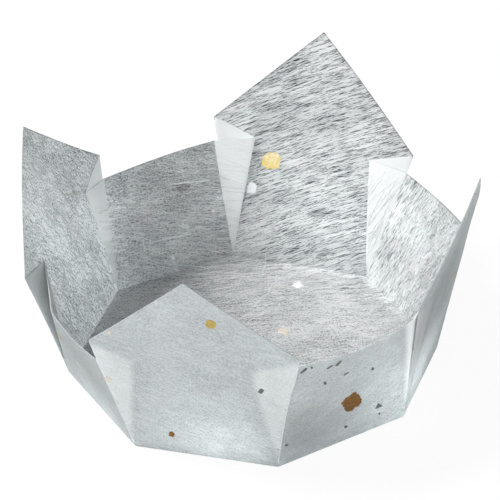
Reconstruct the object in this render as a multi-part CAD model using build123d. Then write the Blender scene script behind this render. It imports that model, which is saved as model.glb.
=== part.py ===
from build123d import *

import os
from dataclasses import dataclass
from math import atan2, cos, degrees, radians, sin, sqrt

# A snack box folded from one square sheet of thin fibrous paper: a flat eight-sided
# floor, four tall walls that end in the sheet's corners, four low walls between them,
# and at each corner of the floor a pleat of two layers laid on the tall wall's inside.
# Millimetres and degrees. The origin is on the resting face, under the middle.

# The sheet
SHEET_SIDE = 150.0
PAPER_THICKNESS = 0.2

# The folds
PLEAT_LIFT = 0.9        # a pleat's free fold off the tall wall, at its upper end
PLEAT_GAPE = 1.5        # low wall's fold line back from the closed corner, in degrees
SLACK_GAPE = 16.0       # the same at the one corner whose pleat has sprung open
FOLD_SWELL = 1.1        # how thick a free fold line is, against the paper
CREASE_SWELL = 0.98     # the same for the creases round the floor, which is flat below
FOLD_SIDES = 6          # flats round a fold line
PRESSED = 3.0           # from a corner of the floor, where the layers are pressed sharp


@dataclass
class Wall:
    """One wall: it turns up from a crease in the sheet and leans outwards."""

    side: float     # where it lies about the middle of the sheet
    skew: float     # how far its crease is turned out of square with that
    reach: float    # middle of the sheet to its crease
    lean: float     # off the upright
    bow: float      # how far its middle stands out, at the height of the low rims
    gape: float = PLEAT_GAPE    # of the pleat at its far end, going anticlockwise

    @property
    def out(self):
        turn = radians(self.side + self.skew)
        return Vector(cos(turn), sin(turn), 0)

    @property
    def along(self):
        return Vector(0, 0, 1).cross(self.out)

    @property
    def up(self):
        return self.out * sin(radians(self.lean)) + Vector(0, 0, cos(radians(self.lean)))

    @property
    def inward(self):
        return self.up.cross(self.along)

    @property
    def is_tall(self):
        return round(self.side) % 90 == 0


# Hand folding leaves no two walls alike. Anticlockwise from the front.
WALLS = [
    Wall(side=-90, skew=3.0, reach=39.6, lean=14.5, bow=0.4),
    Wall(side=-45, skew=3.0, reach=37.8, lean=14.5, bow=2.0),
    Wall(side=0, skew=-3.5, reach=41.1, lean=7.5, bow=1.8),
    Wall(side=45, skew=0.0, reach=42.7, lean=17.0, bow=1.2),
    Wall(side=90, skew=1.0, reach=42.1, lean=10.0, bow=3.1),
    Wall(side=135, skew=-1.5, reach=42.7, lean=14.5, bow=1.6),
    Wall(side=180, skew=-2.5, reach=43.2, lean=10.5, bow=2.4, gape=SLACK_GAPE),
    Wall(side=225, skew=1.5, reach=42.9, lean=18.5, bow=0.8),
]

HALF_SIDE = SHEET_SIDE / 2
HALF_DIAGONAL = HALF_SIDE * sqrt(2)
LOW_RIM = HALF_SIDE - sum(wall.reach for wall in WALLS) / len(WALLS)
MARGIN = SHEET_SIDE / 15    # past the sheet, for the shapes that trim it
CREASE_LEVEL = Vector(0, 0, PAPER_THICKNESS / 2)


def towards(side):
    """Direction from the middle of the sheet to one of its sides or corners."""
    return Vector(cos(radians(side)), sin(radians(side)), 0)


def crossing(first, second):
    """Floor corner where the creases of two neighbouring walls cross."""
    a, b = first.out, second.out
    spread = a.X * b.Y - a.Y * b.X
    x = (first.reach * b.Y - second.reach * a.Y) / spread
    y = (second.reach * a.X - first.reach * b.X) / spread
    return Vector(x, y, 0) + CREASE_LEVEL


def to_raw_edge(start, heading, side):
    """How far it is, in the flat sheet, from start along heading to the sheet's side."""
    square = towards(side)
    return (HALF_SIDE - start.dot(square)) / heading.dot(square)


def turned(vector, angle):
    """A direction in the flat sheet, turned anticlockwise."""
    return vector.rotate(Axis.Z, angle)


def flattened(wall, direction):
    """A direction that lies in a standing wall, as it was in the flat sheet."""
    return wall.along * direction.dot(wall.along) + wall.out * direction.dot(wall.up)


def stood_up(wall, direction):
    """A direction of the flat sheet, once its wall is folded up."""
    return wall.along * direction.dot(wall.along) + wall.up * direction.dot(wall.out)


class Corner:
    """The three folds that leave a corner of the floor, between two neighbouring walls."""

    def __init__(self, first, second):
        self.tall, self.low = (first, second) if first.is_tall else (second, first)
        self.foot = crossing(first, second)
        # Anticlockwise or clockwise, from the middle of the tall wall to this corner
        sense = 1 if first.is_tall else -1
        tall_line = second.inward.cross(first.inward).normalized()
        tall_flat = flattened(self.tall, tall_line)
        low_flat = turned(flattened(self.low, tall_line), sense * first.gape)
        low_line = stood_up(self.low, low_flat)

        # The pleat takes up the angle that is left between those two fold lines. Its
        # free fold lies on the tall wall, where its two layers' angles add up to that.
        pleat = radians(tall_flat.get_angle(low_flat))
        to_middle = stood_up(self.tall, turned(tall_flat, -sense * 90))
        lap = atan2(
            tall_line.dot(low_line) - cos(pleat),
            sin(pleat) - to_middle.dot(low_line),
        )
        free_line = tall_line * cos(lap) + to_middle * sin(lap)
        free_flat = turned(tall_flat, sense * degrees(lap))

        side = self.low.side
        self.tall_top = self.foot + tall_line * to_raw_edge(self.foot, tall_flat, side)
        self.free_top = self.foot + free_line * to_raw_edge(self.foot, free_flat, side)
        self.low_top = self.foot + low_line * to_raw_edge(self.foot, low_flat, side)

    def top_on(self, wall):
        return self.tall_top if wall.is_tall else self.low_top

    def place_across(self, wall, height):
        """Where this end of a wall lies along its crease's direction, at a height up it."""
        line = self.top_on(wall) - self.foot
        return (self.foot + line * (height / line.dot(wall.up))).dot(wall.along)


def height_on(wall, point):
    """How far up a wall's face a point is."""
    return (point - wall.out * wall.reach - CREASE_LEVEL).dot(wall.up)


def bulge(wall, left, right, point):
    """How far a bowed wall stands out at a point of its flat face."""
    height = height_on(wall, point)
    start, end = left.place_across(wall, height), right.place_across(wall, height)
    across = 2 * (point.dot(wall.along) - start) / (end - start) - 1
    return wall.bow * height / LOW_RIM * (1 - across**2)


def strip(wall, left, right, height):
    """A wall before it is trimmed: straight at its crease and more bowed higher up."""
    half = PAPER_THICKNESS / 2
    plane = Plane(wall.out * wall.reach + CREASE_LEVEL, x_dir=wall.along, z_dir=wall.up)
    start, end = left.place_across(wall, 0), right.place_across(wall, 0)
    foot = Polyline((start, -half), (end, -half), (end, half), (start, half), close=True)

    start, end = left.place_across(wall, height), right.place_across(wall, height)
    middle = (start + end) / 2
    depth = -wall.bow * height / LOW_RIM
    outer = ThreePointArc((start, -half), (middle, depth - half), (end, -half))
    inner = ThreePointArc((end, half), (middle, depth + half), (start, half))
    ends = [Line((end, -half), (end, half)), Line((start, half), (start, -half))]
    top = Curve() + [outer, inner, *ends]
    return loft([plane * make_face(foot), plane.offset(height) * make_face(top)], ruled=True)


def trimmed(wall, left, right):
    """A wall cut to the raw edges of the square sheet."""
    tops = [left.top_on(wall), right.top_on(wall)]
    if wall.is_tall:
        sheet_corner = towards(wall.side) * HALF_DIAGONAL + CREASE_LEVEL
        tops.insert(1, left.foot + stood_up(wall, sheet_corner - left.foot))
    # The raw edge runs on past the wall's own folds, so that only the rim is cut
    run_in = (tops[0] - tops[1]).normalized() * MARGIN
    run_out = (tops[-1] - tops[-2]).normalized() * MARGIN
    low_left = left.foot - wall.along * MARGIN
    low_right = right.foot + wall.along * MARGIN
    outline = [low_left, tops[0] + run_in, *tops, tops[-1] + run_out, low_right]

    face_plane = Plane(left.foot, x_dir=wall.along, z_dir=wall.inward)
    flat = [face_plane.to_local_coords(point) for point in outline]
    blank = face_plane * make_face(Polyline(*[(p.X, p.Y) for p in flat], close=True))
    height = max(height_on(wall, top) for top in tops) + MARGIN
    return strip(wall, left, right, height) & extrude(blank, amount=2 * MARGIN, both=True)


def layer(*points):
    """A flat three-cornered layer of a pleat."""
    face = Face(Wire.make_polygon(points))
    return extrude(face, amount=PAPER_THICKNESS / 2, both=True)


def roll(start, end, wall, swell):
    """The paper bent round along a fold line, with a flat towards the wall's inside."""
    run = end - start
    radius = PAPER_THICKNESS / 2 * swell
    section = RegularPolygon(radius, FOLD_SIDES, rotation=180 / FOLD_SIDES)
    return extrude(Plane(start, x_dir=wall.inward, z_dir=run) * section, amount=run.length)


def crease(left, right, wall):
    """The crease that a wall turns up from."""
    clear = wall.along * PRESSED
    return roll(left.foot + clear, right.foot - clear, wall, CREASE_SWELL)


def fold(corner, top, wall):
    """A fold line of a pleat, from a corner of the floor to the raw edge."""
    clear = (top - corner.foot).normalized() * PRESSED
    return roll(corner.foot + clear, top, wall, FOLD_SWELL)


def pleat(wall, left, right, corner):
    """The two layers laid on a tall wall at one of its ends, and their three folds."""
    lift = PLEAT_LIFT - bulge(wall, left, right, corner.free_top)
    free_top = corner.free_top + wall.inward * lift
    return [
        layer(corner.foot, corner.tall_top, free_top),
        layer(corner.foot, free_top, corner.low_top),
        fold(corner, corner.tall_top, wall),
        fold(corner, free_top, wall),
        fold(corner, corner.low_top, corner.low),
    ]


def folded_sheet():
    corners = [Corner(wall, WALLS[(i + 1) % len(WALLS)]) for i, wall in enumerate(WALLS)]
    feet = [corner.foot - CREASE_LEVEL for corner in corners]
    floor = extrude(make_face(Polyline(*feet, close=True)), amount=PAPER_THICKNESS)
    stretches = []
    for i, wall in enumerate(WALLS):
        left, right = corners[i - 1], corners[i]
        stretches.append(trimmed(wall, left, right))
        stretches.append(crease(left, right, wall))
        if wall.is_tall:
            stretches += pleat(wall, left, right, left)
            stretches += pleat(wall, left, right, right)
    return floor.fuse(*stretches)


sheet = folded_sheet()
middle = sheet.bounding_box().center()
sheet = Pos(-middle.X, -middle.Y, 0) * sheet

os.makedirs("parts", exist_ok=True)
export_step(sheet, "parts/folded_sheet.step")
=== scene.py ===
import random
from dataclasses import dataclass
from math import atan2, cos, exp, pi, radians, sin, sqrt

import bmesh
import bpy
from mathutils import Matrix, Vector, noise


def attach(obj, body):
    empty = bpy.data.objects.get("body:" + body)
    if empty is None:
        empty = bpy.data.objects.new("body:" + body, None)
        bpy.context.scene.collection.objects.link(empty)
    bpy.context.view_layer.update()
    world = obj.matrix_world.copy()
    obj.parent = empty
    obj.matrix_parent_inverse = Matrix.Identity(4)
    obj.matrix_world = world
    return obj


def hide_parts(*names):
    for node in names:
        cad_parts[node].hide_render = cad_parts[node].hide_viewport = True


# The snack box's folded sheet, dressed for the photograph. Metres and radians. A flat
# point below is a point of the unfolded sheet, with its middle at (0, 0).

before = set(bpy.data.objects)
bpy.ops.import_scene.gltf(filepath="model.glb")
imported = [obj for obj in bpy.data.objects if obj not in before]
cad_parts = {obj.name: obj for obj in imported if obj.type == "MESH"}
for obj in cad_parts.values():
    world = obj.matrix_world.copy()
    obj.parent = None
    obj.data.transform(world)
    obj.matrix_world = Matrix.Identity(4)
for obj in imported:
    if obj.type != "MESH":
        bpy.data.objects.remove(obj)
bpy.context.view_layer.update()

# The sheet and its folds, as in the part's source
SHEET_SIDE = 0.150
PAPER_THICKNESS = 0.0002
PLEAT_LIFT = 0.0009     # a pleat's free fold off the tall wall, at its upper end
PLEAT_GAPE = radians(1.5)       # low wall's fold line back from the closed corner
SLACK_GAPE = radians(16.0)      # the same at the one corner whose pleat has sprung open

# What the solid leaves out
PLEAT_PUFF = 0.0003     # how far a pleat's top layer stands proud between its two folds
WAVINESS = 0.0004       # of the walls, at the height of the low rims
WAVE_LENGTH = 0.030
WAVE_SEED = 7

PANEL_CUTS = 23         # across each edge of a panel, for the mesh
MILLIMETRES = 1000      # in a metre

# How far the raw edge's ends have settled from where the straight folds put them, along
# and up the wall: the tall wall's, then the low wall's
SETTLING = {
    ("front", "front_right"): ((0.0020, -0.0017), (0.0010, 0.0022)),
    ("front_right", "right"): ((0.0, 0.0), (-0.0003, 0.0014)),
    ("right_back", "back"): ((-0.0005, -0.0007), (0.0, 0.0)),
    ("left", "left_front"): ((0.0006, -0.0007), (0.0005, -0.0004)),
    ("back_left", "left"): ((0.0, 0.0), (0.0005, -0.0008)),
}
SETTLING_REACH = 0.014  # over which it fades

# How white the paper looks where it lies in layers, from 0 for one to 1: painted light that the layers
# behind send back through it
BACKED = 0.38
PLEATED = 1.0
SLACK = 0.45            # in the pleat that has sprung open
FADING = 0.0018         # from the edge of a layer behind, over which it stops showing

# One low wall turns into its pleat in a soft round, not a sharp fold, with a painted highlight along the
# round
ROUNDED_END = "front_right"
ROUNDED_WIDTH = 0.0034
ROUNDED = 0.7           # how white it is

# How much lighter or darker the sheet looks here and there, for its uneven thickness and as painted
# light and shade for light
# that the lamps leave out: flat place and radius in millimetres, and the change
PATCHES = [
    ((-43, 42), 17, -0.07),
    ((-14, 32), 11, -0.08),
    ((14, 26), 12, 0.32),
    ((-38, 12), 10, 0.32),
    ((-63, -1), 14, 0.28),
    ((-83, 6), 14, 0.08),
    ((-60, 28), 9, 0.44),
    ((-28, 60), 8, 0.12),
    ((40, 48), 13, 0.15),
    ((25, -45), 11, -0.25),
    ((47, -28), 9, 0.24),
    ((4, -42), 11, 0.42),
    ((-31, -33), 8, 0.30),
    ((-85, -12), 8, 0.16),
    ((74, -6), 15, -0.26),
    ((50, -8), 11, 0.56),
    ((-43, -42), 15, -0.22),
    ((5, 90), 15, -0.10),
    ((9, 56), 12, 0.22),
]

# Painted light and shade: the fibres show in strongest contrast in the tall back wall, where light rakes
# across them
RAKING_LIGHT_PLACE = (8, 78)
RAKING_LIGHT_RADIUS = 34

UP = Vector((0, 0, 1))
HALF_SIDE = SHEET_SIDE / 2
HALF_DIAGONAL = HALF_SIDE * sqrt(2)
CREASE_LEVEL = UP * (PAPER_THICKNESS / 2)


def towards(side):
    """Direction from the middle of the sheet to one of its sides or corners."""
    return Vector((cos(side), sin(side), 0))


def turned(vector, angle):
    """A direction in the flat sheet, turned anticlockwise."""
    return Matrix.Rotation(angle, 3, "Z") @ vector


@dataclass
class Wall:
    """One wall: it turns up from a crease in the sheet and leans outwards."""

    name: str
    side: float
    skew: float
    reach: float
    lean: float
    bow: float
    gape: float = PLEAT_GAPE

    def __post_init__(self):
        self.facing = radians(self.side)
        self.out = towards(radians(self.side + self.skew))
        self.along = UP.cross(self.out)
        self.up = self.out * sin(radians(self.lean)) + UP * cos(radians(self.lean))
        self.inward = self.up.cross(self.along)
        self.is_tall = self.side % 90 == 0

    def height_of(self, point):
        """How far up the wall's face a point is."""
        return (point - self.out * self.reach - CREASE_LEVEL).dot(self.up)

    def stood_up(self, flat):
        """A flat point of this wall, once it is folded up, before it bows."""
        beyond = flat.dot(self.out) - self.reach
        foot = self.along * flat.dot(self.along) + self.out * self.reach
        return foot + self.up * beyond + CREASE_LEVEL

    def flattened(self, direction):
        """A direction that lies in the standing wall, as it was in the flat sheet."""
        return self.along * direction.dot(self.along) + self.out * direction.dot(self.up)

    def raised(self, direction):
        """A direction of the flat sheet, once the wall is folded up."""
        return self.along * direction.dot(self.along) + self.up * direction.dot(self.out)

    def bulge(self, point):
        """How far the bowed wall stands out at a point of its face."""
        height = self.height_of(point)
        start = self.left.place_across(self, height)
        end = self.right.place_across(self, height)
        across = 2 * (point.dot(self.along) - start) / (end - start) - 1
        return self.bow * height / LOW_RIM * (1 - across**2)

    def bowed(self, point):
        return point - self.inward * self.bulge(point)


WALLS = [
    Wall("front", side=-90, skew=3.0, reach=0.0396, lean=14.5, bow=0.0004),
    Wall("front_right", side=-45, skew=3.0, reach=0.0378, lean=14.5, bow=0.0020),
    Wall("right", side=0, skew=-3.5, reach=0.0411, lean=7.5, bow=0.0018),
    Wall("right_back", side=45, skew=0.0, reach=0.0427, lean=17.0, bow=0.0012),
    Wall("back", side=90, skew=1.0, reach=0.0421, lean=10.0, bow=0.0031),
    Wall("back_left", side=135, skew=-1.5, reach=0.0427, lean=14.5, bow=0.0016),
    Wall("left", side=180, skew=-2.5, reach=0.0432, lean=10.5, bow=0.0024, gape=SLACK_GAPE),
    Wall("left_front", side=225, skew=1.5, reach=0.0429, lean=18.5, bow=0.0008),
]
LOW_RIM = HALF_SIDE - sum(wall.reach for wall in WALLS) / len(WALLS)


def to_raw_edge(start, heading, facing):
    """How far it is, in the flat sheet, from start along heading to the sheet's side."""
    square = towards(facing)
    return (HALF_SIDE - start.dot(square)) / heading.dot(square)


def settling_share(wall, flat, end):
    """How much a flat point of a wall moves with an end of its raw edge."""
    rise = (flat.dot(wall.out) - wall.reach) / LOW_RIM
    away = (flat - end).length / SETTLING_REACH
    return max(0.0, min(1.0, rise)) * exp(-away * away / 2)


class Corner:
    """The three folds that leave a corner of the floor, and the pleat between them."""

    def __init__(self, first, second):
        self.tall, self.low = (first, second) if first.is_tall else (second, first)
        spread = first.out.cross(second.out).z
        x = (first.reach * second.out.y - second.reach * first.out.y) / spread
        y = (second.reach * first.out.x - first.reach * second.out.x) / spread
        self.flat_foot = Vector((x, y, 0))
        self.foot = self.flat_foot + CREASE_LEVEL

        # Anticlockwise or clockwise, from the middle of the tall wall to this corner
        self.sense = 1 if first.is_tall else -1
        tall_line = first.inward.cross(second.inward).normalized()
        tall_flat = self.tall.flattened(tall_line)
        low_flat = turned(self.low.flattened(tall_line), self.sense * first.gape)
        low_line = self.low.raised(low_flat)

        # The pleat takes up the angle that is left between those two fold lines. Its
        # free fold lies on the tall wall, where its two layers' angles add up to that.
        pleat = tall_flat.angle(low_flat)
        to_middle = self.tall.raised(turned(tall_flat, -self.sense * pi / 2))
        self.lap = atan2(
            tall_line.dot(low_line) - cos(pleat),
            sin(pleat) - to_middle.dot(low_line),
        )
        free_flat = turned(tall_flat, self.sense * self.lap)
        lap_flat = turned(tall_flat, -self.sense * self.lap)
        self.tall_line, self.to_middle = tall_line, to_middle
        self.tall_heading = tall_flat

        facing = self.low.facing
        reach = to_raw_edge(self.flat_foot, free_flat, facing)
        self.free_reach = reach
        self.flat_free = self.flat_foot + free_flat * reach
        self.flat_lap = self.flat_foot + lap_flat * reach
        free_line = tall_line * cos(self.lap) + to_middle * sin(self.lap)
        self.free_top = self.foot + free_line * reach
        reach = to_raw_edge(self.flat_foot, tall_flat, facing)
        self.flat_tall = self.flat_foot + tall_flat * reach
        self.tall_top = self.foot + tall_line * reach
        reach = to_raw_edge(self.flat_foot, low_flat, facing)
        self.flat_low = self.flat_foot + low_flat * reach
        self.low_top = self.foot + low_line * reach
        self.low_reach = reach
        tall_shift, low_shift = SETTLING.get((first.name, second.name), ((0, 0), (0, 0)))
        self.tall_shift = self.tall.along * tall_shift[0] + self.tall.up * tall_shift[1]
        self.low_shift = self.low.along * low_shift[0] + self.low.up * low_shift[1]

    def tall_settling(self, flat):
        return self.tall_shift * settling_share(self.tall, flat, self.flat_tall)

    def low_settling(self, flat):
        return self.low_shift * settling_share(self.low, flat, self.flat_low)

    def place_across(self, wall, height):
        """Where this end of a wall lies along its crease's direction, at a height up it."""
        line = (self.tall_top if wall.is_tall else self.low_top) - self.foot
        return (self.foot + line * (height / line.dot(wall.up))).dot(wall.along)

    def under_layer(self, flat):
        """A flat point of the layer next to the tall wall, folded back onto it."""
        arm = flat - self.flat_foot
        length = arm.length
        if length == 0:
            return self.foot.copy()
        turn = min(self.lap, arm.angle(self.tall_heading))
        place = self.foot + (self.tall_line * cos(turn) + self.to_middle * sin(turn)) * length
        lift = PLEAT_LIFT * turn / self.lap * length / self.free_reach
        behind = self.flat_foot + turned(self.tall_heading, -self.sense * turn) * length
        return self.tall.bowed(place) + self.tall.inward * lift + self.tall_settling(behind)

    def top_layer(self, flat):
        """A flat point of the layer that runs on into the low wall."""
        arm = flat - self.flat_foot
        free, low = self.flat_free - self.flat_foot, self.flat_low - self.flat_foot
        spread = free.cross(low).z
        to_free, to_low = arm.cross(low).z / spread, free.cross(arm).z / spread
        free_top = self.tall.bowed(self.free_top) + self.tall.inward * PLEAT_LIFT
        place = self.foot + (free_top - self.foot) * to_free + (self.low_top - self.foot) * to_low
        over = self.foot + (self.free_top - self.foot) * to_free
        over += self.tall_line * self.low_reach * to_low
        follow = self.tall.bulge(over) - to_free * self.tall.bulge(self.free_top)
        puff = PLEAT_PUFF * 4 * to_free * to_low
        spread = to_free + to_low
        if spread == 0:
            return place
        behind = self.flat_foot.lerp(self.flat_lap, spread)
        beside = self.flat_foot.lerp(self.flat_low, spread)
        settling = (self.tall_settling(behind) * to_free + self.low_settling(beside) * to_low) / spread
        return place + self.tall.inward * (puff - follow) + settling


CORNERS = [Corner(wall, WALLS[(i + 1) % len(WALLS)]) for i, wall in enumerate(WALLS)]
for i, wall in enumerate(WALLS):
    wall.left, wall.right = CORNERS[i - 1], CORNERS[i]

# The origin lies under the middle of the box's outline, which its four tips set
FRONT_TIP, RIGHT_TIP, BACK_TIP, LEFT_TIP = (
    wall.bowed(wall.stood_up(towards(wall.facing) * HALF_DIAGONAL)) for wall in WALLS if wall.is_tall
)
BOX_MIDDLE = Vector((LEFT_TIP.x + RIGHT_TIP.x, FRONT_TIP.y + BACK_TIP.y, 0)) / 2


@dataclass
class Panel:
    """A piece of the flat sheet between folds: outline, how it folds, and how it looks."""

    outline: list
    fold: object
    piece: str              # panels of one piece have no sharp fold between them
    # Whiteness is painted light from the layers that lie on it or behind it
    whiteness: float = 0.0  # from the layers that lie on it or behind it
    fading: tuple = ()      # edges towards which that fades away

    def whiteness_at(self, flat):
        share = self.whiteness
        for a, b in self.fading:
            depth = abs((b - a).normalized().cross(flat - a).z) / FADING
            share *= min(1.0, depth)
        return share


def soft_spot(flat, place, radius):
    """How near a flat point is to a place in millimetres, from 1 there to 0 far from it."""
    away = (flat * MILLIMETRES - Vector((*place, 0))).length / radius
    return exp(-away * away / 2)


# The sheet's uneven thickness, with painted light and shade
def tone_at(flat):
    return 1 + sum(change * soft_spot(flat, place, radius) for place, radius, change in PATCHES)


def raking_light_contrast_at(flat):
    return soft_spot(flat, RAKING_LIGHT_PLACE, RAKING_LIGHT_RADIUS)


def on_floor(flat):
    return flat + CREASE_LEVEL


def on_wall(wall):
    def fold(flat):
        place = wall.bowed(wall.stood_up(flat))
        for corner in (wall.left, wall.right):
            place += corner.tall_settling(flat) if wall.is_tall else corner.low_settling(flat)
        return place

    return fold


def sheet_panels():
    panels = []
    middle = Vector((0, 0, 0))
    for i, corner in enumerate(CORNERS):
        panels.append(Panel([middle, CORNERS[i - 1].flat_foot, corner.flat_foot], on_floor, "floor"))
        under = [corner.flat_foot, corner.flat_tall, corner.flat_free]
        top = [corner.flat_foot, corner.flat_free, corner.flat_low]
        slack = corner.tall.gape == SLACK_GAPE and corner is corner.tall.right
        layered = SLACK if slack else PLEATED
        panels.append(Panel(under, corner.under_layer, f"under_layer_{i}", layered))
        rounded = corner.low.name == ROUNDED_END and corner is corner.low.right
        piece = ROUNDED_END if rounded else f"top_layer_{i}"
        panels.append(Panel(top, corner.top_layer, piece, layered))
    for wall in WALLS:
        left, right = wall.left, wall.right
        fold = on_wall(wall)
        if not wall.is_tall:
            end = right.flat_low
            # The round is painted whiter: a painted highlight
            if wall.name == ROUNDED_END:
                end = end + (left.flat_low - end).normalized() * ROUNDED_WIDTH
                round_part = [right.flat_foot, right.flat_low, end]
                fading = ((right.flat_foot, end),)
                panels.append(Panel(round_part, fold, wall.name, ROUNDED, fading))
            outline = [left.flat_foot, right.flat_foot, end, left.flat_low]
            panels.append(Panel(outline, fold, wall.name))
            continue
        tip = towards(wall.facing) * HALF_DIAGONAL
        middle_part = [left.flat_foot, right.flat_foot, right.flat_lap, left.flat_lap]
        upper_part = [left.flat_lap, right.flat_lap, right.flat_tall, left.flat_tall]
        panels.append(Panel(middle_part, fold, wall.name))
        panels.append(Panel(upper_part, fold, wall.name))
        panels.append(Panel([left.flat_tall, right.flat_tall, tip], fold, wall.name))
        for end in (left, right):
            backed = [end.flat_foot, end.flat_lap, end.flat_tall]
            fading = ((end.flat_foot, end.flat_lap), (end.flat_lap, end.flat_tall))
            panels.append(Panel(backed, fold, wall.name, BACKED, fading))
    for panel in panels:
        a, b, c = panel.outline[:3]
        if (b - a).cross(c - a).z < 0:
            panel.outline.reverse()
    return panels


PANELS = sheet_panels()


# Without a seed of its own, this noise differs from run to run
noise.seed_set(WAVE_SEED)


def settled(point):
    """Adds the soft waves of the paper to a folded point, and moves it into the row's frame."""
    rise = (point.z - CREASE_LEVEL.z) / LOW_RIM
    share = max(0.0, min(rise, 2 - rise))
    wave = noise.noise_vector(point / WAVE_LENGTH)
    return point + wave * WAVINESS * share * share - BOX_MIDDLE


def folded(panel, flat):
    return settled(panel.fold(flat))


def within(flat, outline):
    """Whether a flat point lies inside an outline that runs anticlockwise."""
    ends = outline[1:] + outline[:1]
    return all((b - a).cross(flat - a).z >= -1e-12 for a, b in zip(outline, ends))


def panel_at(flat):
    return next((panel for panel in PANELS if within(flat, panel.outline)), None)


def in_uv(flat):
    """The sheet's map: the flat sheet itself, as large as it goes in the unit square."""
    return (0.5 + flat.x / (2 * HALF_DIAGONAL), 0.5 + flat.y / (2 * HALF_DIAGONAL))


def sheet_surface():
    """The folded sheet with no thickness. Its front is the box's inside."""
    bm = bmesh.new()
    panel_layer = bm.faces.layers.int.new("panel")
    seen = {}

    def corner_of(flat):
        key = (round(flat.x, 9), round(flat.y, 9))
        if key not in seen:
            seen[key] = bm.verts.new(flat)
        return seen[key]

    for i, panel in enumerate(PANELS):
        face = bm.faces.new([corner_of(flat) for flat in panel.outline])
        face[panel_layer] = i
    bmesh.ops.subdivide_edges(bm, edges=bm.edges[:], cuts=PANEL_CUTS, use_grid_fill=True)
    bm.normal_update()

    uv_layer = bm.loops.layers.uv.new("flat_sheet")
    whiteness_layer = bm.loops.layers.float.new("whiteness")
    tone_layer = bm.loops.layers.float.new("tone")
    raking_light_contrast_layer = bm.loops.layers.float.new("raking_light_contrast")
    for face in bm.faces:
        face.smooth = True
        for loop in face.loops:
            flat = loop.vert.co
            loop[uv_layer].uv = in_uv(flat)
            loop[whiteness_layer] = PANELS[face[panel_layer]].whiteness_at(flat)
            loop[tone_layer] = tone_at(flat)
            loop[raking_light_contrast_layer] = raking_light_contrast_at(flat)
    for edge in bm.edges:
        pieces = {PANELS[face[panel_layer]].piece for face in edge.link_faces}
        # The raw edge is cut square, and a fold between two pieces is sharp
        edge.smooth = len(pieces) == 1 and len(edge.link_faces) == 2
    places = [folded(PANELS[vert.link_faces[0][panel_layer]], vert.co) for vert in bm.verts]
    for vert, place in zip(bm.verts, places):
        vert.co = place
    mesh = bpy.data.meshes.new("folded_paper")
    bm.to_mesh(mesh)
    bm.free()
    return mesh


def placed(name, mesh):
    piece = bpy.data.objects.new(name, mesh)
    bpy.context.scene.collection.objects.link(piece)
    return piece


class Nodes:
    """A node tree under construction: its nodes, and the links between them."""

    prefix = ""

    def node(self, kind, settings=None, **inputs):
        """A new node. Its inputs go by name, or by number after an underscore."""
        node = self.tree.nodes.new(self.prefix + kind)
        for key, value in (settings or {}).items():
            setattr(node, key, value)
        for key, value in inputs.items():
            place = int(key[1:]) if key[0] == "_" else key.replace("_", " ")
            self.feed(node.inputs[place], value)
        return node

    def feed(self, socket, value):
        if isinstance(value, bpy.types.NodeSocket):
            self.tree.links.new(value, socket)
        else:
            socket.default_value = value


class Finish(Nodes):
    """The nodes of a material, or of the world."""

    prefix = "ShaderNode"

    def __init__(self, owner, kind="Material"):
        self.owner = owner
        owner.use_nodes = True
        self.tree = owner.node_tree
        self.tree.nodes.clear()
        self.output = self.node("Output" + kind)

    def show(self, shader):
        """Makes a shader the result, and gives back the finished material or world."""
        self.feed(self.output.inputs[0], shader.outputs[0])
        return self.owner

    def maths(self, operation, first, second=0.0, third=0.0, clamp=False):
        settings = {"operation": operation, "use_clamp": clamp}
        return self.node("Math", settings, _0=first, _1=second, _2=third).outputs[0]

    def highest(self, first, second, share):
        """The first value or a share of the second, whichever is more."""
        return self.maths("MAXIMUM", first, self.maths("MULTIPLY", second, share))

    def ranged(self, value, low, high, to_low=0.0, to_high=1.0, smooth=True):
        settings = {"interpolation_type": "SMOOTHSTEP" if smooth else "LINEAR"}
        node = self.node(
            "MapRange", settings, Value=value,
            From_Min=low, From_Max=high, To_Min=to_low, To_Max=to_high,
        )
        return node.outputs[0]

    def mixed(self, share, first, second):
        node = self.node("Mix", {"data_type": "RGBA"}, _0=share, _6=first, _7=second)
        return node.outputs[2]

    def blended(self, share, first, second):
        node = self.node("Mix", {"data_type": "FLOAT"}, _0=share, _2=first, _3=second)
        return node.outputs[0]


GRAIN = radians(28)     # the way most fibres run in the flat sheet
PLAIN = 0.68            # how far paper with no streaks lies from the gaps' tone to the fibres'
VEIL = 0.88             # how far the whitest layers hide the fibres
CUT_STARTS, CUT_FULL = 0.0028, 0.0005       # shade along the raw edge, in the unit square


def fibre_field(finish, turn, length, width, low, high, seed):
    """Streaks of fibre along the grain, as 0 in the gaps and 1 on the fibres. Millimetres."""
    uv = finish.node("UVMap", {"uv_map": "flat_sheet"}).outputs[0]
    size = 2 * HALF_DIAGONAL * MILLIMETRES
    along_grain = finish.node(
        "Mapping", Vector=uv,
        Scale=(size, size, 1), Rotation=(0, 0, -(GRAIN + turn)), Location=(seed, 3 * seed, 0),
    ).outputs[0]
    drawn_out = finish.node("Mapping", Vector=along_grain, Scale=(1 / length, 1 / width, 1)).outputs[0]
    streaks = finish.node(
        "TexNoise", {"noise_dimensions": "2D"}, Vector=drawn_out,
        Scale=1.0, Detail=2.0, Roughness=0.55, Distortion=0.15,
    ).outputs[0]
    return finish.ranged(streaks, low, high)


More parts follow.
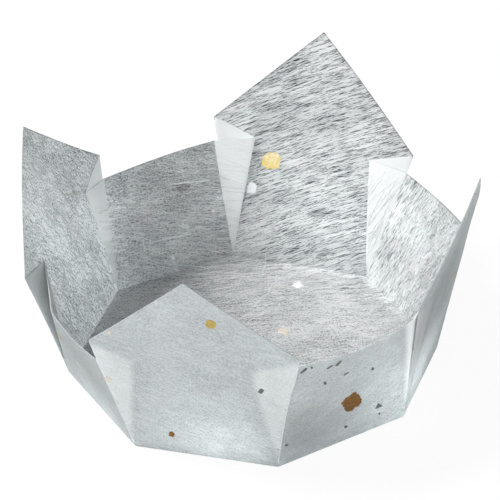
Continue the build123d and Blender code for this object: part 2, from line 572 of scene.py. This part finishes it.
def paper_face(name, gap, fibre, contrast, layers, see_through, edge):
    """One face of the paper. Where it lies in several layers it is whiter and plainer, with painted
    light from the layers behind.
    """
    finish = Finish(bpy.data.materials.new(name))
    broad = fibre_field(finish, 0.0, 9.0, 0.26, 0.45, 0.53, 11.0)
    fine = fibre_field(finish, radians(9), 3.6, 0.21, 0.47, 0.56, 47.0)
    crossed = fibre_field(finish, radians(-16), 6.0, 0.23, 0.53, 0.61, 83.0)
    mottle = fibre_field(finish, radians(40), 0.60, 0.42, 0.34, 0.58, 61.0)
    clouds = fibre_field(finish, 0.0, 14.0, 8.0, 0.30, 0.70, 29.0)
    # Painted light and shade of light raking across the fibres: stronger streaks and contrast, most in
    # the back wall
    raking_light_contrast = finish.node("Attribute", {"attribute_name": "raking_light_contrast"}).outputs["Fac"]
    streaks = finish.highest(finish.maths("MULTIPLY", broad, 0.9), fine, 0.8)
    streaks = finish.highest(streaks, crossed, 0.8)
    speckle = finish.highest(finish.blended(0.6, fine, mottle), crossed, 0.8)
    woven = finish.blended(finish.ranged(raking_light_contrast, 0.05, 0.75), speckle, streaks)
    woven = finish.maths("MULTIPLY", woven, 0.92)
    woven = finish.maths("MULTIPLY_ADD", clouds, 0.16, woven, clamp=True)
    share = finish.ranged(raking_light_contrast, 0.0, 0.8, contrast * 0.8, contrast)
    woven = finish.blended(share, PLAIN, woven)

    # Painted light from the layers behind, which also veils the fibres and lets less light through
    whiteness = finish.node("Attribute", {"attribute_name": "whiteness"}).outputs["Fac"]
    colour = finish.mixed(woven, gap, fibre)
    veiled = finish.maths("MULTIPLY", whiteness, VEIL)
    colour = finish.mixed(veiled, colour, layers)
    uv = finish.node("UVMap", {"uv_map": "flat_sheet"}).outputs[0]
    centred = finish.node("VectorMath", {"operation": "SUBTRACT"}, _0=uv, _1=(0.5, 0.5, 0)).outputs[0]
    centred = finish.node("VectorMath", {"operation": "ABSOLUTE"}, _0=centred).outputs[0]
    parts = finish.node("SeparateXYZ", _0=centred).outputs
    outwards = finish.maths("ADD", parts[0], parts[1])
    cut = finish.ranged(outwards, 0.5 - CUT_STARTS, 0.5 - CUT_FULL, 0.0, edge)
    cut = finish.maths("MULTIPLY", cut, finish.maths("SUBTRACT", 1.0, whiteness))
    colour = finish.mixed(cut, colour, gap)
    # Painted light and shade from the patches, with the sheet's uneven thickness
    tone = finish.node("Attribute", {"attribute_name": "tone"}).outputs["Fac"]
    colour = finish.node("VectorMath", {"operation": "SCALE"}, _0=colour, Scale=tone).outputs[0]
    relief = finish.blended(veiled, woven, 0.8)
    bump = finish.node("Bump", Height=relief, Strength=0.9, Distance=0.00015)
    face = finish.node("BsdfPrincipled", Base_Color=colour, Roughness=0.85, Normal=bump.outputs[0])
    face.inputs["Specular IOR Level"].default_value = 0.2
    glow = finish.node("BsdfTranslucent", Color=colour, Normal=bump.outputs[0])
    share = finish.ranged(whiteness, 0.0, 1.0, see_through, see_through * 0.4, smooth=False)
    body = finish.node("MixShader", _0=share, _1=face.outputs[0], _2=glow.outputs[0])
    return finish.show(body)


# The gaps between the fibres are near black: painted shade seen through the thin paper
inside_face = paper_face(
    "paper_inside", gap=(0.06, 0.08, 0.095, 1), fibre=(0.96, 0.97, 0.97, 1), contrast=1.0,
    layers=(0.88, 0.90, 0.90, 1), see_through=0.46, edge=0.35,
)
# The outside is darker and greyer than the inside of the same paper: painted shade
outside_face = paper_face(
    "paper_outside", gap=(0.22, 0.25, 0.26, 1), fibre=(0.76, 0.795, 0.80, 1), contrast=0.55,
    layers=(0.88, 0.90, 0.90, 1), see_through=0.46, edge=0.0,
)
raw_edge = paper_face(
    "paper_raw_edge", gap=(0.36, 0.39, 0.40, 1), fibre=(0.52, 0.55, 0.56, 1), contrast=0.6,
    layers=(0.66, 0.68, 0.68, 1), see_through=0.3, edge=0.0,
)


def folded_paper():
    paper = placed("folded_paper", sheet_surface())
    for material in (inside_face, outside_face, raw_edge):
        paper.data.materials.append(material)
    shell = paper.modifiers.new("thickness", "SOLIDIFY")
    shell.thickness = PAPER_THICKNESS
    shell.offset = 0
    shell.use_even_offset = False
    shell.material_offset = 1
    shell.material_offset_rim = 2
    depsgraph = bpy.context.evaluated_depsgraph_get()
    thick = bpy.data.meshes.new_from_object(paper.evaluated_get(depsgraph))
    paper.modifiers.remove(shell)
    paper.data = thick
    thick.name = "folded_paper"
    return paper


paper = folded_paper()
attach(paper, "root")
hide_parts("folded_sheet")


def fibre_finish(name, thin, thick):
    """Single long fibres: matt and letting some light through."""
    finish = Finish(bpy.data.materials.new(name))
    place = finish.node("TexCoord").outputs["Object"]
    uneven = finish.node("TexNoise", Vector=place, Scale=400.0, Detail=2.0).outputs[0]
    colour = finish.mixed(uneven, thin, thick)
    face = finish.node("BsdfPrincipled", Base_Color=colour, Roughness=0.7)
    glow = finish.node("BsdfTranslucent", Color=colour)
    body = finish.node("MixShader", _0=0.4, _1=face.outputs[0], _2=glow.outputs[0])
    return finish.show(body)


def leaf_finish(name, light, dark, shine, roughness):
    """Beaten leaf: torn, crinkled and uneven in colour."""
    finish = Finish(bpy.data.materials.new(name))
    place = finish.node("TexCoord").outputs["Object"]
    crinkle = finish.node("TexNoise", Vector=place, Scale=900.0, Detail=4.0, Roughness=0.7).outputs[0]
    patches = finish.node("TexNoise", Vector=place, Scale=900.0, Detail=2.0).outputs[0]
    share = finish.ranged(patches, 0.40, 0.60)
    colour = finish.mixed(share, light, dark)
    bump = finish.node("Bump", Height=crinkle, Strength=0.5, Distance=0.0001)
    leaf = finish.node(
        "BsdfPrincipled", Base_Color=colour, Metallic=shine, Roughness=roughness, Normal=bump.outputs[0]
    )
    return finish.show(leaf)


class Tree(Nodes):
    """A geometry nodes tree that grows pieces on the sheet."""

    def __init__(self, name, inputs):
        self.tree = bpy.data.node_groups.new(name, "GeometryNodeTree")
        face = self.tree.interface
        face.new_socket("Geometry", in_out="INPUT", socket_type="NodeSocketGeometry")
        for label, kind in inputs.items():
            face.new_socket(label, in_out="INPUT", socket_type="NodeSocket" + kind)
        face.new_socket("Geometry", in_out="OUTPUT", socket_type="NodeSocketGeometry")
        self.given = self.node("NodeGroupInput")
        self.result = self.node("NodeGroupOutput")

    def maths(self, operation, first, second=0.0, third=0.0):
        settings = {"operation": operation}
        return self.node("ShaderNodeMath", settings, _0=first, _1=second, _2=third).outputs[0]

    def vector(self, operation, first, second=(0, 0, 0), **inputs):
        node = self.node("ShaderNodeVectorMath", {"operation": operation}, _0=first, _1=second, **inputs)
        return node.outputs["Value"] if operation in ("LENGTH", "DOT_PRODUCT") else node.outputs[0]

    def random(self, kind, low, high, seed, spare):
        node = self.node("FunctionNodeRandomValue", {"data_type": kind})
        least, most, result = {"FLOAT": (2, 3, 1), "FLOAT_VECTOR": (0, 1, 0)}[kind]
        self.feed(node.inputs[least], low)
        self.feed(node.inputs[most], high)
        self.feed(node.inputs["Seed"], self.maths("ADD", seed, spare))
        return node.outputs[result]

    def applied(self, name, values):
        """The tree's result for these values, as a plain mesh on an object of its own."""
        piece = placed(name, bpy.data.meshes.new(name))
        grown = piece.modifiers.new(name, "NODES")
        grown.node_group = self.tree
        for item in self.tree.interface.items_tree:
            if item.in_out == "INPUT" and item.name in values:
                grown[item.identifier] = values[item.name]
        depsgraph = bpy.context.evaluated_depsgraph_get()
        mesh = bpy.data.meshes.new_from_object(piece.evaluated_get(depsgraph))
        piece.modifiers.remove(grown)
        piece.data = mesh
        mesh.name = name
        return piece


# How far a fibre wavers against its own even curl, and how often
WAVER, WAVER_SCALE = 1.6, 70.0


def fibre_tree():
    """Fibres strewn over the flat sheet along its grain, and carried to the folded one."""
    tree = Tree("fibres_on_sheet", {
        "Sheet": "Object", "Material": "Material", "Count": "Int", "Points": "Int",
        "Shortest": "Float", "Longest": "Float", "Width": "Float", "Spread": "Float",
        "Curl": "Float", "Height": "Float", "Seed": "Int",
    })
    given = tree.given.outputs
    seed = given["Seed"]
    far = HALF_DIAGONAL
    spot = tree.random("FLOAT_VECTOR", (-far, -far, 0), (far, far, 0), seed, 1)
    spots = tree.node("GeometryNodePoints", Count=given["Count"], Position=spot).outputs[0]
    # Only where the whole fibre lies on the sheet, whichever way it runs and curls. The
    # sheet's corners lie on the axes, so x and y add up to its half diagonal at its sides.
    place = tree.node("GeometryNodeInputPosition").outputs[0]
    parts = tree.node("ShaderNodeSeparateXYZ", _0=tree.vector("ABSOLUTE", place)).outputs
    reach = tree.maths("MULTIPLY_ADD", given["Longest"], 0.75, tree.maths("ADD", parts[0], parts[1]))
    reach = tree.maths("MULTIPLY_ADD", given["Curl"], 1.8, reach)
    outside = tree.maths("GREATER_THAN", reach, far)
    spots = tree.node(
        "GeometryNodeDeleteGeometry", {"domain": "POINT"}, Geometry=spots, Selection=outside
    ).outputs[0]

    line = tree.node("GeometryNodeCurvePrimitiveLine", Start=(-0.5, 0, 0), End=(0.5, 0, 0)).outputs[0]
    line = tree.node("GeometryNodeResampleCurve", Curve=line, Count=given["Points"]).outputs[0]
    turn = tree.random("FLOAT", tree.maths("MULTIPLY", given["Spread"], -1.0), given["Spread"], seed, 2)
    turn = tree.node("ShaderNodeCombineXYZ", _2=tree.maths("ADD", turn, GRAIN)).outputs[0]
    length = tree.random("FLOAT", given["Shortest"], given["Longest"], seed, 3)
    size = tree.node("ShaderNodeCombineXYZ", _0=length, _1=length, _2=length).outputs[0]
    fibres = tree.node(
        "GeometryNodeInstanceOnPoints", Points=spots, Instance=line, Rotation=turn, Scale=size
    ).outputs[0]
    curl = tree.random("FLOAT", -1.0, 1.0, seed, 4)
    fibres = tree.node(
        "GeometryNodeStoreNamedAttribute", {"domain": "INSTANCE"},
        Geometry=fibres, Name="curl", Value=curl,
    ).outputs[0]
    fibres = tree.node("GeometryNodeRealizeInstances", Geometry=fibres).outputs[0]

    own_curl = tree.node("GeometryNodeInputNamedAttribute", Name="curl").outputs[0]
    along = tree.node("GeometryNodeSplineParameter").outputs["Factor"]
    arch = tree.maths("MULTIPLY", along, tree.maths("SUBTRACT", 1.0, along))
    tangent = tree.node("GeometryNodeInputTangent").outputs[0]
    aside = tree.vector("CROSS_PRODUCT", tangent, (0, 0, 1))
    waver = tree.node("ShaderNodeTexNoise", Scale=WAVER_SCALE, Detail=2.0).outputs[0]
    bend = tree.maths("MULTIPLY", own_curl, arch)
    bend = tree.maths("MULTIPLY_ADD", tree.maths("SUBTRACT", waver, 0.5), WAVER, bend)
    offset = tree.vector("SCALE", aside, Scale=tree.maths("MULTIPLY", bend, given["Curl"]))
    fibres = tree.node("GeometryNodeSetPosition", Geometry=fibres, Offset=offset).outputs[0]

    radius = tree.maths("MULTIPLY", given["Width"], 0.5)
    section = tree.node("GeometryNodeCurvePrimitiveCircle", Resolution=3, Radius=radius).outputs[0]
    fibres = tree.node(
        "GeometryNodeCurveToMesh", Curve=fibres, Profile_Curve=section, Fill_Caps=True
    ).outputs[0]

    place = tree.node("GeometryNodeInputPosition").outputs[0]
    uv = tree.vector("MULTIPLY_ADD", place, (0.5 / far, 0.5 / far, 0))
    uv.node.inputs[2].default_value = (0.5, 0.5, 0)
    sheet = tree.node(
        "GeometryNodeObjectInfo", {"transform_space": "ORIGINAL"}, Object=given["Sheet"]
    ).outputs["Geometry"]
    uv_map = tree.node(
        "GeometryNodeInputNamedAttribute", {"data_type": "FLOAT_VECTOR"}, Name="flat_sheet"
    ).outputs[0]
    carried = []
    for value in ("GeometryNodeInputPosition", "GeometryNodeInputNormal"):
        sample = tree.node("GeometryNodeSampleUVSurface", {"data_type": "FLOAT_VECTOR"}, Mesh=sheet)
        tree.feed(sample.inputs["Value"], tree.node(value).outputs[0])
        tree.feed(sample.inputs["Source UV Map"], uv_map)
        tree.feed(sample.inputs["Sample UV"], uv)
        carried.append(sample.outputs["Value"])
    above = tree.node("ShaderNodeSeparateXYZ", _0=place).outputs[2]
    lift = tree.vector("SCALE", carried[1], Scale=tree.maths("ADD", above, given["Height"]))
    # None may reach below the table that the floor lies on
    resting = tree.vector("MAXIMUM", tree.vector("ADD", carried[0], lift), (-1, -1, 0))
    fibres = tree.node("GeometryNodeSetPosition", Geometry=fibres, Position=resting).outputs[0]
    fibres = tree.node("GeometryNodeSetShadeSmooth", Geometry=fibres).outputs[0]
    fibres = tree.node("GeometryNodeRealizeInstances", Geometry=fibres).outputs[0]
    fibres = tree.node("GeometryNodeSetMaterial", Geometry=fibres, Material=given["Material"]).outputs[0]
    tree.feed(tree.result.inputs[0], fibres)
    return tree


def dress(piece):
    """Makes a piece part of the sheet, under the root body."""
    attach(piece, "root")


def strewn_fibres():
    sheet = placed("sheet_surface", sheet_surface())
    tree = fibre_tree()
    pale = fibre_finish("pale_fibre", (0.90, 0.92, 0.93, 1), (0.98, 0.98, 0.98, 1))
    # Darker fibres for the outside: painted shade, like its face
    dull = fibre_finish("dull_fibre", (0.66, 0.70, 0.71, 1), (0.76, 0.79, 0.80, 1))
    kinds = {
        "streaks_inside": {
            "Count": 7500, "Points": 8, "Shortest": 0.004, "Longest": 0.010, "Width": 0.00010,
            "Spread": radians(13), "Curl": 0.0006, "Height": 0.00013, "Seed": 5, "Material": pale,
        },
        "streaks_outside": {
            "Count": 260, "Points": 14, "Shortest": 0.004, "Longest": 0.011, "Width": 0.00007,
            "Spread": radians(45), "Curl": 0.0040, "Height": -0.000115, "Seed": 23, "Material": dull,
        },
        "long_fibres_inside": {
            "Count": 240, "Points": 22, "Shortest": 0.012, "Longest": 0.022, "Width": 0.00018,
            "Spread": radians(60), "Curl": 0.004, "Height": 0.00013, "Seed": 61, "Material": pale,
        },
    }
    for name, values in kinds.items():
        dress(tree.applied(name, dict(values, Sheet=sheet)))
    bpy.data.objects.remove(sheet)


strewn_fibres()

# The two faces of a flake, from the middle of the paper
LEAF_SUNK, LEAF_PROUD = 0.00009, 0.00015
SLOPE_STEP = 0.00015    # over which the paper's slope is taken
# Two colours, how metallic and how rough. The dark brown gold leaf is painted shade, for leaf seen
# against light through the paper; the black silver leaf is dark from its oxide and from the same painted
# shade
LEAVES = {
    "pale_gold_leaf": ((0.80, 0.62, 0.22, 1), (0.84, 0.74, 0.46, 1), 0.1, 0.6),
    "gold_leaf": ((0.40, 0.28, 0.035, 1), (0.32, 0.24, 0.06, 1), 0.1, 0.6),
    "brown_gold_leaf": ((0.18, 0.066, 0.002, 1), (0.10, 0.052, 0.004, 1), 0.0, 0.8),
    "faint_leaf": ((0.50, 0.42, 0.34, 1), (0.48, 0.47, 0.43, 1), 0.0, 0.8),
    "silver_leaf": ((0.07, 0.085, 0.08, 1), (0.13, 0.14, 0.13, 1), 0.2, 0.6),
    "white_chip": ((0.92, 0.93, 0.93, 1), (0.88, 0.90, 0.91, 1), 0.0, 0.8),
    "pale_chip": ((0.80, 0.82, 0.82, 1), (0.74, 0.77, 0.77, 1), 0.0, 0.8),
}
LEAF_FINISHES = {name: leaf_finish(name, *look) for name, look in LEAVES.items()}


@dataclass
class Fleck:
    """A torn flake in the paper, by its place in the flat sheet. Millimetres and degrees."""

    finish: str
    x: float
    y: float
    length: float
    width: float
    turn: float = 0
    outside: bool = True
    inside: bool = False
    ragged: float = 0.25
    corners: int = 14


FLECKS = [
    # The tall back wall and its pleat
    Fleck("pale_gold_leaf", -10.2, 69.8, 5.6, 5.2, 10, inside=True, ragged=0.28, corners=30),
    Fleck("white_chip", -14.6, 61.5, 3.6, 3.4, 70, outside=False, inside=True, ragged=0.35, corners=9),
    # The floor and the low wall at the back left
    Fleck("pale_chip", 1.8, 33.6, 3.4, 3.4, 45, outside=False, inside=True, ragged=0.6, corners=18),
    Fleck("white_chip", -30.4, 49.0, 0.9, 0.9, 0, outside=False, inside=True),
    Fleck("white_chip", -33.2, 33.1, 1.2, 0.9, 20, outside=False, inside=True),
    Fleck("faint_leaf", 3.3, 13.2, 4.0, 3.4, 105, outside=False, inside=True, ragged=0.65, corners=26),
    # The tall front wall
    Fleck("gold_leaf", 4.5, -92.8, 3.2, 2.2, 105, ragged=0.15),
    Fleck("brown_gold_leaf", -9.5, -47.2, 2.5, 1.6, 105, ragged=0.3),
    Fleck("faint_leaf", -22.8, -65.9, 2.8, 1.7, 105, ragged=0.4),
    Fleck("faint_leaf", -20.1, -84.6, 1.8, 1.0, 105, ragged=0.4),
    Fleck("silver_leaf", 13.8, -69.3, 2.3, 1.3, 110, ragged=0.3),
    # The low wall at the front right
    Fleck("brown_gold_leaf", 39.9, -37.1, 8.2, 5.2, 104, inside=True, ragged=0.2, corners=30),
    Fleck("silver_leaf", 41.6, -25.1, 3.4, 3.0, 183, inside=True, ragged=0.1, corners=3),
    Fleck("silver_leaf", 39.1, -21.9, 1.1, 0.6, 107),
    Fleck("silver_leaf", 41.1, -62.6, 2.3, 1.0, -5, inside=True),
    Fleck("silver_leaf", 45.2, -57.1, 1.9, 0.8, 17, inside=True),
    Fleck("silver_leaf", 47.2, -55.8, 2.1, 1.0, -2, inside=True),
    Fleck("silver_leaf", 42.8, -61.7, 1.0, 0.6, 107),
    Fleck("silver_leaf", 45.9, -49.8, 1.5, 0.7, 26),
    Fleck("silver_leaf", 41.2, -53.1, 1.6, 0.8, 107),
    Fleck("silver_leaf", 50.0, -41.9, 1.5, 0.8, 107),
    Fleck("silver_leaf", 32.7, -29.5, 1.5, 0.9, 107),
    Fleck("silver_leaf", 22.5, -43.6, 1.3, 0.9, 107),
    # Long fibres that lie plain to see in the low wall at the back left and the tall left wall
    Fleck("pale_chip", -41.1, 52.1, 12.9, 0.40, 33, outside=False, inside=True, corners=40),
    Fleck("pale_chip", -37.0, 37.2, 15.5, 0.36, 39, outside=False, inside=True, corners=40),
    Fleck("pale_chip", -78.0, 4.7, 21.0, 0.44, 48, outside=False, inside=True, corners=40),
    Fleck("pale_chip", -65.5, 3.2, 19.0, 0.40, 34, outside=False, inside=True, corners=40),
    # Where the photograph doesn't show, at the same spacing
    Fleck("brown_gold_leaf", -42.0, 50.0, 3.2, 2.6, 25, ragged=0.3, corners=18),
    Fleck("silver_leaf", -56.0, 42.0, 1.6, 0.8, 15),
    Fleck("gold_leaf", 62.0, 44.0, 2.4, 2.0, 50),
    Fleck("silver_leaf", 50.0, 52.0, 1.4, 0.7, 80),
    Fleck("gold_leaf", 72.0, 8.0, 1.8, 1.5, 35),
    Fleck("gold_leaf", -78.0, 12.0, 2.0, 1.6, 65),
    Fleck("silver_leaf", 8.0, 58.0, 1.2, 0.7, 20),
    Fleck("gold_leaf", -52.0, -38.0, 2.2, 1.7, 10),
]


def fleck(name, kind, side, chance):
    """A flake with a torn outline that lies on one face of the paper, side 1 inside."""
    middle = Vector((kind.x, kind.y, 0)) / MILLIMETRES
    panel = panel_at(middle)
    turn = Matrix.Rotation(radians(kind.turn), 3, "Z")
    rim = []
    for i in range(kind.corners):
        angle = 2 * pi * (i + chance.uniform(-0.3, 0.3)) / kind.corners
        # Squarish, as leaf is cut before it tears
        square = (abs(cos(angle)) ** 4 + abs(sin(angle)) ** 4) ** -0.25
        reach = square * (1 - kind.ragged * chance.random())
        arm = Vector((cos(angle) * kind.length, sin(angle) * kind.width, 0)) / 2
        rim.append(turn @ arm * (reach / MILLIMETRES))
    bm = bmesh.new()
    levels = []
    for height in (LEAF_SUNK, LEAF_PROUD):
        ring = []
        for arm in [Vector((0, 0, 0))] + rim:
            flat = middle + arm
            place = folded(panel, flat)
            along = folded(panel, flat + Vector((SLOPE_STEP, 0, 0))) - place
            across = folded(panel, flat + Vector((0, SLOPE_STEP, 0))) - place
            rise = along.cross(across).normalized()
            ring.append(bm.verts.new(place + rise * side * height))
        levels.append(ring)
    low, high = levels
    count = len(rim)
    for i in range(count):
        a, b = i + 1, (i + 1) % count + 1
        bm.faces.new((high[0], high[a], high[b]))
        bm.faces.new((low[0], low[b], low[a]))
        bm.faces.new((low[a], low[b], high[b], high[a]))
    if side < 0:
        bmesh.ops.reverse_faces(bm, faces=bm.faces[:])
    mesh = bpy.data.meshes.new(name)
    bm.to_mesh(mesh)
    bm.free()
    mesh.materials.append(LEAF_FINISHES[kind.finish])
    dress(placed(name, mesh))


def flecks():
    chance = random.Random(12)
    for i, kind in enumerate(FLECKS):
        if kind.outside:
            fleck(f"{kind.finish}_outside_{i}", kind, -1, chance)
        if kind.inside:
            fleck(f"{kind.finish}_inside_{i}", kind, 1, chance)


flecks()


# The camera, at the photograph's viewing angle. The flat sheet's middle lies to its right,
# up and away by the offset.
VIEW_TURN = radians(15.05)
VIEW_RISE = radians(35.77)
VIEW_ROLL = radians(0.66)
VIEW_FOCUS = 3142 / 500          # focal length against the frame's width
VIEW_OFFSET = Vector((0.0017434, -0.0278532, 0.7906410))


def photo_camera():
    right = Vector((cos(VIEW_TURN), sin(VIEW_TURN), 0))
    back = Vector((sin(VIEW_TURN) * cos(VIEW_RISE), -cos(VIEW_TURN) * cos(VIEW_RISE), sin(VIEW_RISE)))
    above = back.cross(right)
    rolled_right = right * cos(VIEW_ROLL) + above * sin(VIEW_ROLL)
    rolled_above = above * cos(VIEW_ROLL) - right * sin(VIEW_ROLL)
    away = back * VIEW_OFFSET.z - rolled_right * VIEW_OFFSET.x - rolled_above * VIEW_OFFSET.y
    lens = bpy.data.cameras.new("photo_camera")
    lens.sensor_width = 36
    lens.lens = VIEW_FOCUS * lens.sensor_width
    lens.clip_start, lens.clip_end = 0.05, 10
    camera = bpy.data.objects.new("photo_camera", lens)
    axes = Matrix((rolled_right, rolled_above, back)).transposed().to_4x4()
    camera.matrix_world = Matrix.Translation(away - BOX_MIDDLE) @ axes
    bpy.context.scene.collection.objects.link(camera)
    bpy.context.scene.camera = camera


def soft_lamp(name, azimuth, rise, distance, size, power, colour):
    """A round lamp that looks at the box from a side and a height given in degrees."""
    side, height = radians(azimuth), radians(rise)
    facing = Vector((cos(side) * cos(height), sin(side) * cos(height), sin(height)))
    lamp = bpy.data.lights.new(name, "AREA")
    lamp.shape = "DISK"
    lamp.size = size
    lamp.energy = power
    lamp.color = colour
    holder = bpy.data.objects.new(name, lamp)
    holder.location = facing * distance
    holder.rotation_euler = facing.to_track_quat("Z", "Y").to_euler()
    bpy.context.scene.collection.objects.link(holder)


def looked_at(finish):
    """1 on rays from the camera, mirrors and glass, so that the light on the paper stays as it is."""
    rays = finish.node("LightPath").outputs
    even = finish.maths("SUBTRACT", 1.0, rays["Is Diffuse Ray"])
    through = finish.maths("MULTIPLY", rays["Is Transmission Ray"], even)
    seen = finish.maths("ADD", rays["Is Camera Ray"], rays["Is Glossy Ray"])
    return finish.maths("ADD", seen, through, clamp=True)


TABLE_REACH = 3.0


def studio():
    table = placed("table_top", bpy.data.meshes.new("table_top"))
    corners = [(x * TABLE_REACH, y * TABLE_REACH, 0) for x, y in ((-1, -1), (1, -1), (1, 1), (-1, 1))]
    table.data.from_pydata(corners, [], [(0, 1, 2, 3)])
    finish = Finish(bpy.data.materials.new("white_table"))
    plain = finish.node("BsdfDiffuse", Color=(0.94, 0.94, 0.94, 1))
    white = finish.node("Emission", Color=(1, 1, 1, 1), Strength=1.0)
    share = finish.maths("MULTIPLY", looked_at(finish), 0.92)
    top = finish.node("MixShader", _0=share, _1=plain.outputs[0], _2=white.outputs[0])
    table.data.materials.append(finish.show(top))

    world = bpy.data.worlds.new("studio")
    bpy.context.scene.world = world
    sky = Finish(world, "World")
    fill = sky.node("Background", Color=(0.97, 0.99, 1.0, 1), Strength=0.44)
    white = sky.node("Background", Color=(1, 1, 1, 1), Strength=1.0)
    sky.show(sky.node("MixShader", _0=looked_at(sky), _1=fill.outputs[0], _2=white.outputs[0]))

    soft_lamp("key_lamp", azimuth=191, rise=54, distance=1.2, size=0.45, power=18.9, colour=(1, 1, 0.99))
    soft_lamp("front_lamp", azimuth=288, rise=19, distance=1.4, size=0.8, power=8.4, colour=(1, 1, 1))
    bpy.context.scene.view_settings.view_transform = "Standard"


photo_camera()
studio()
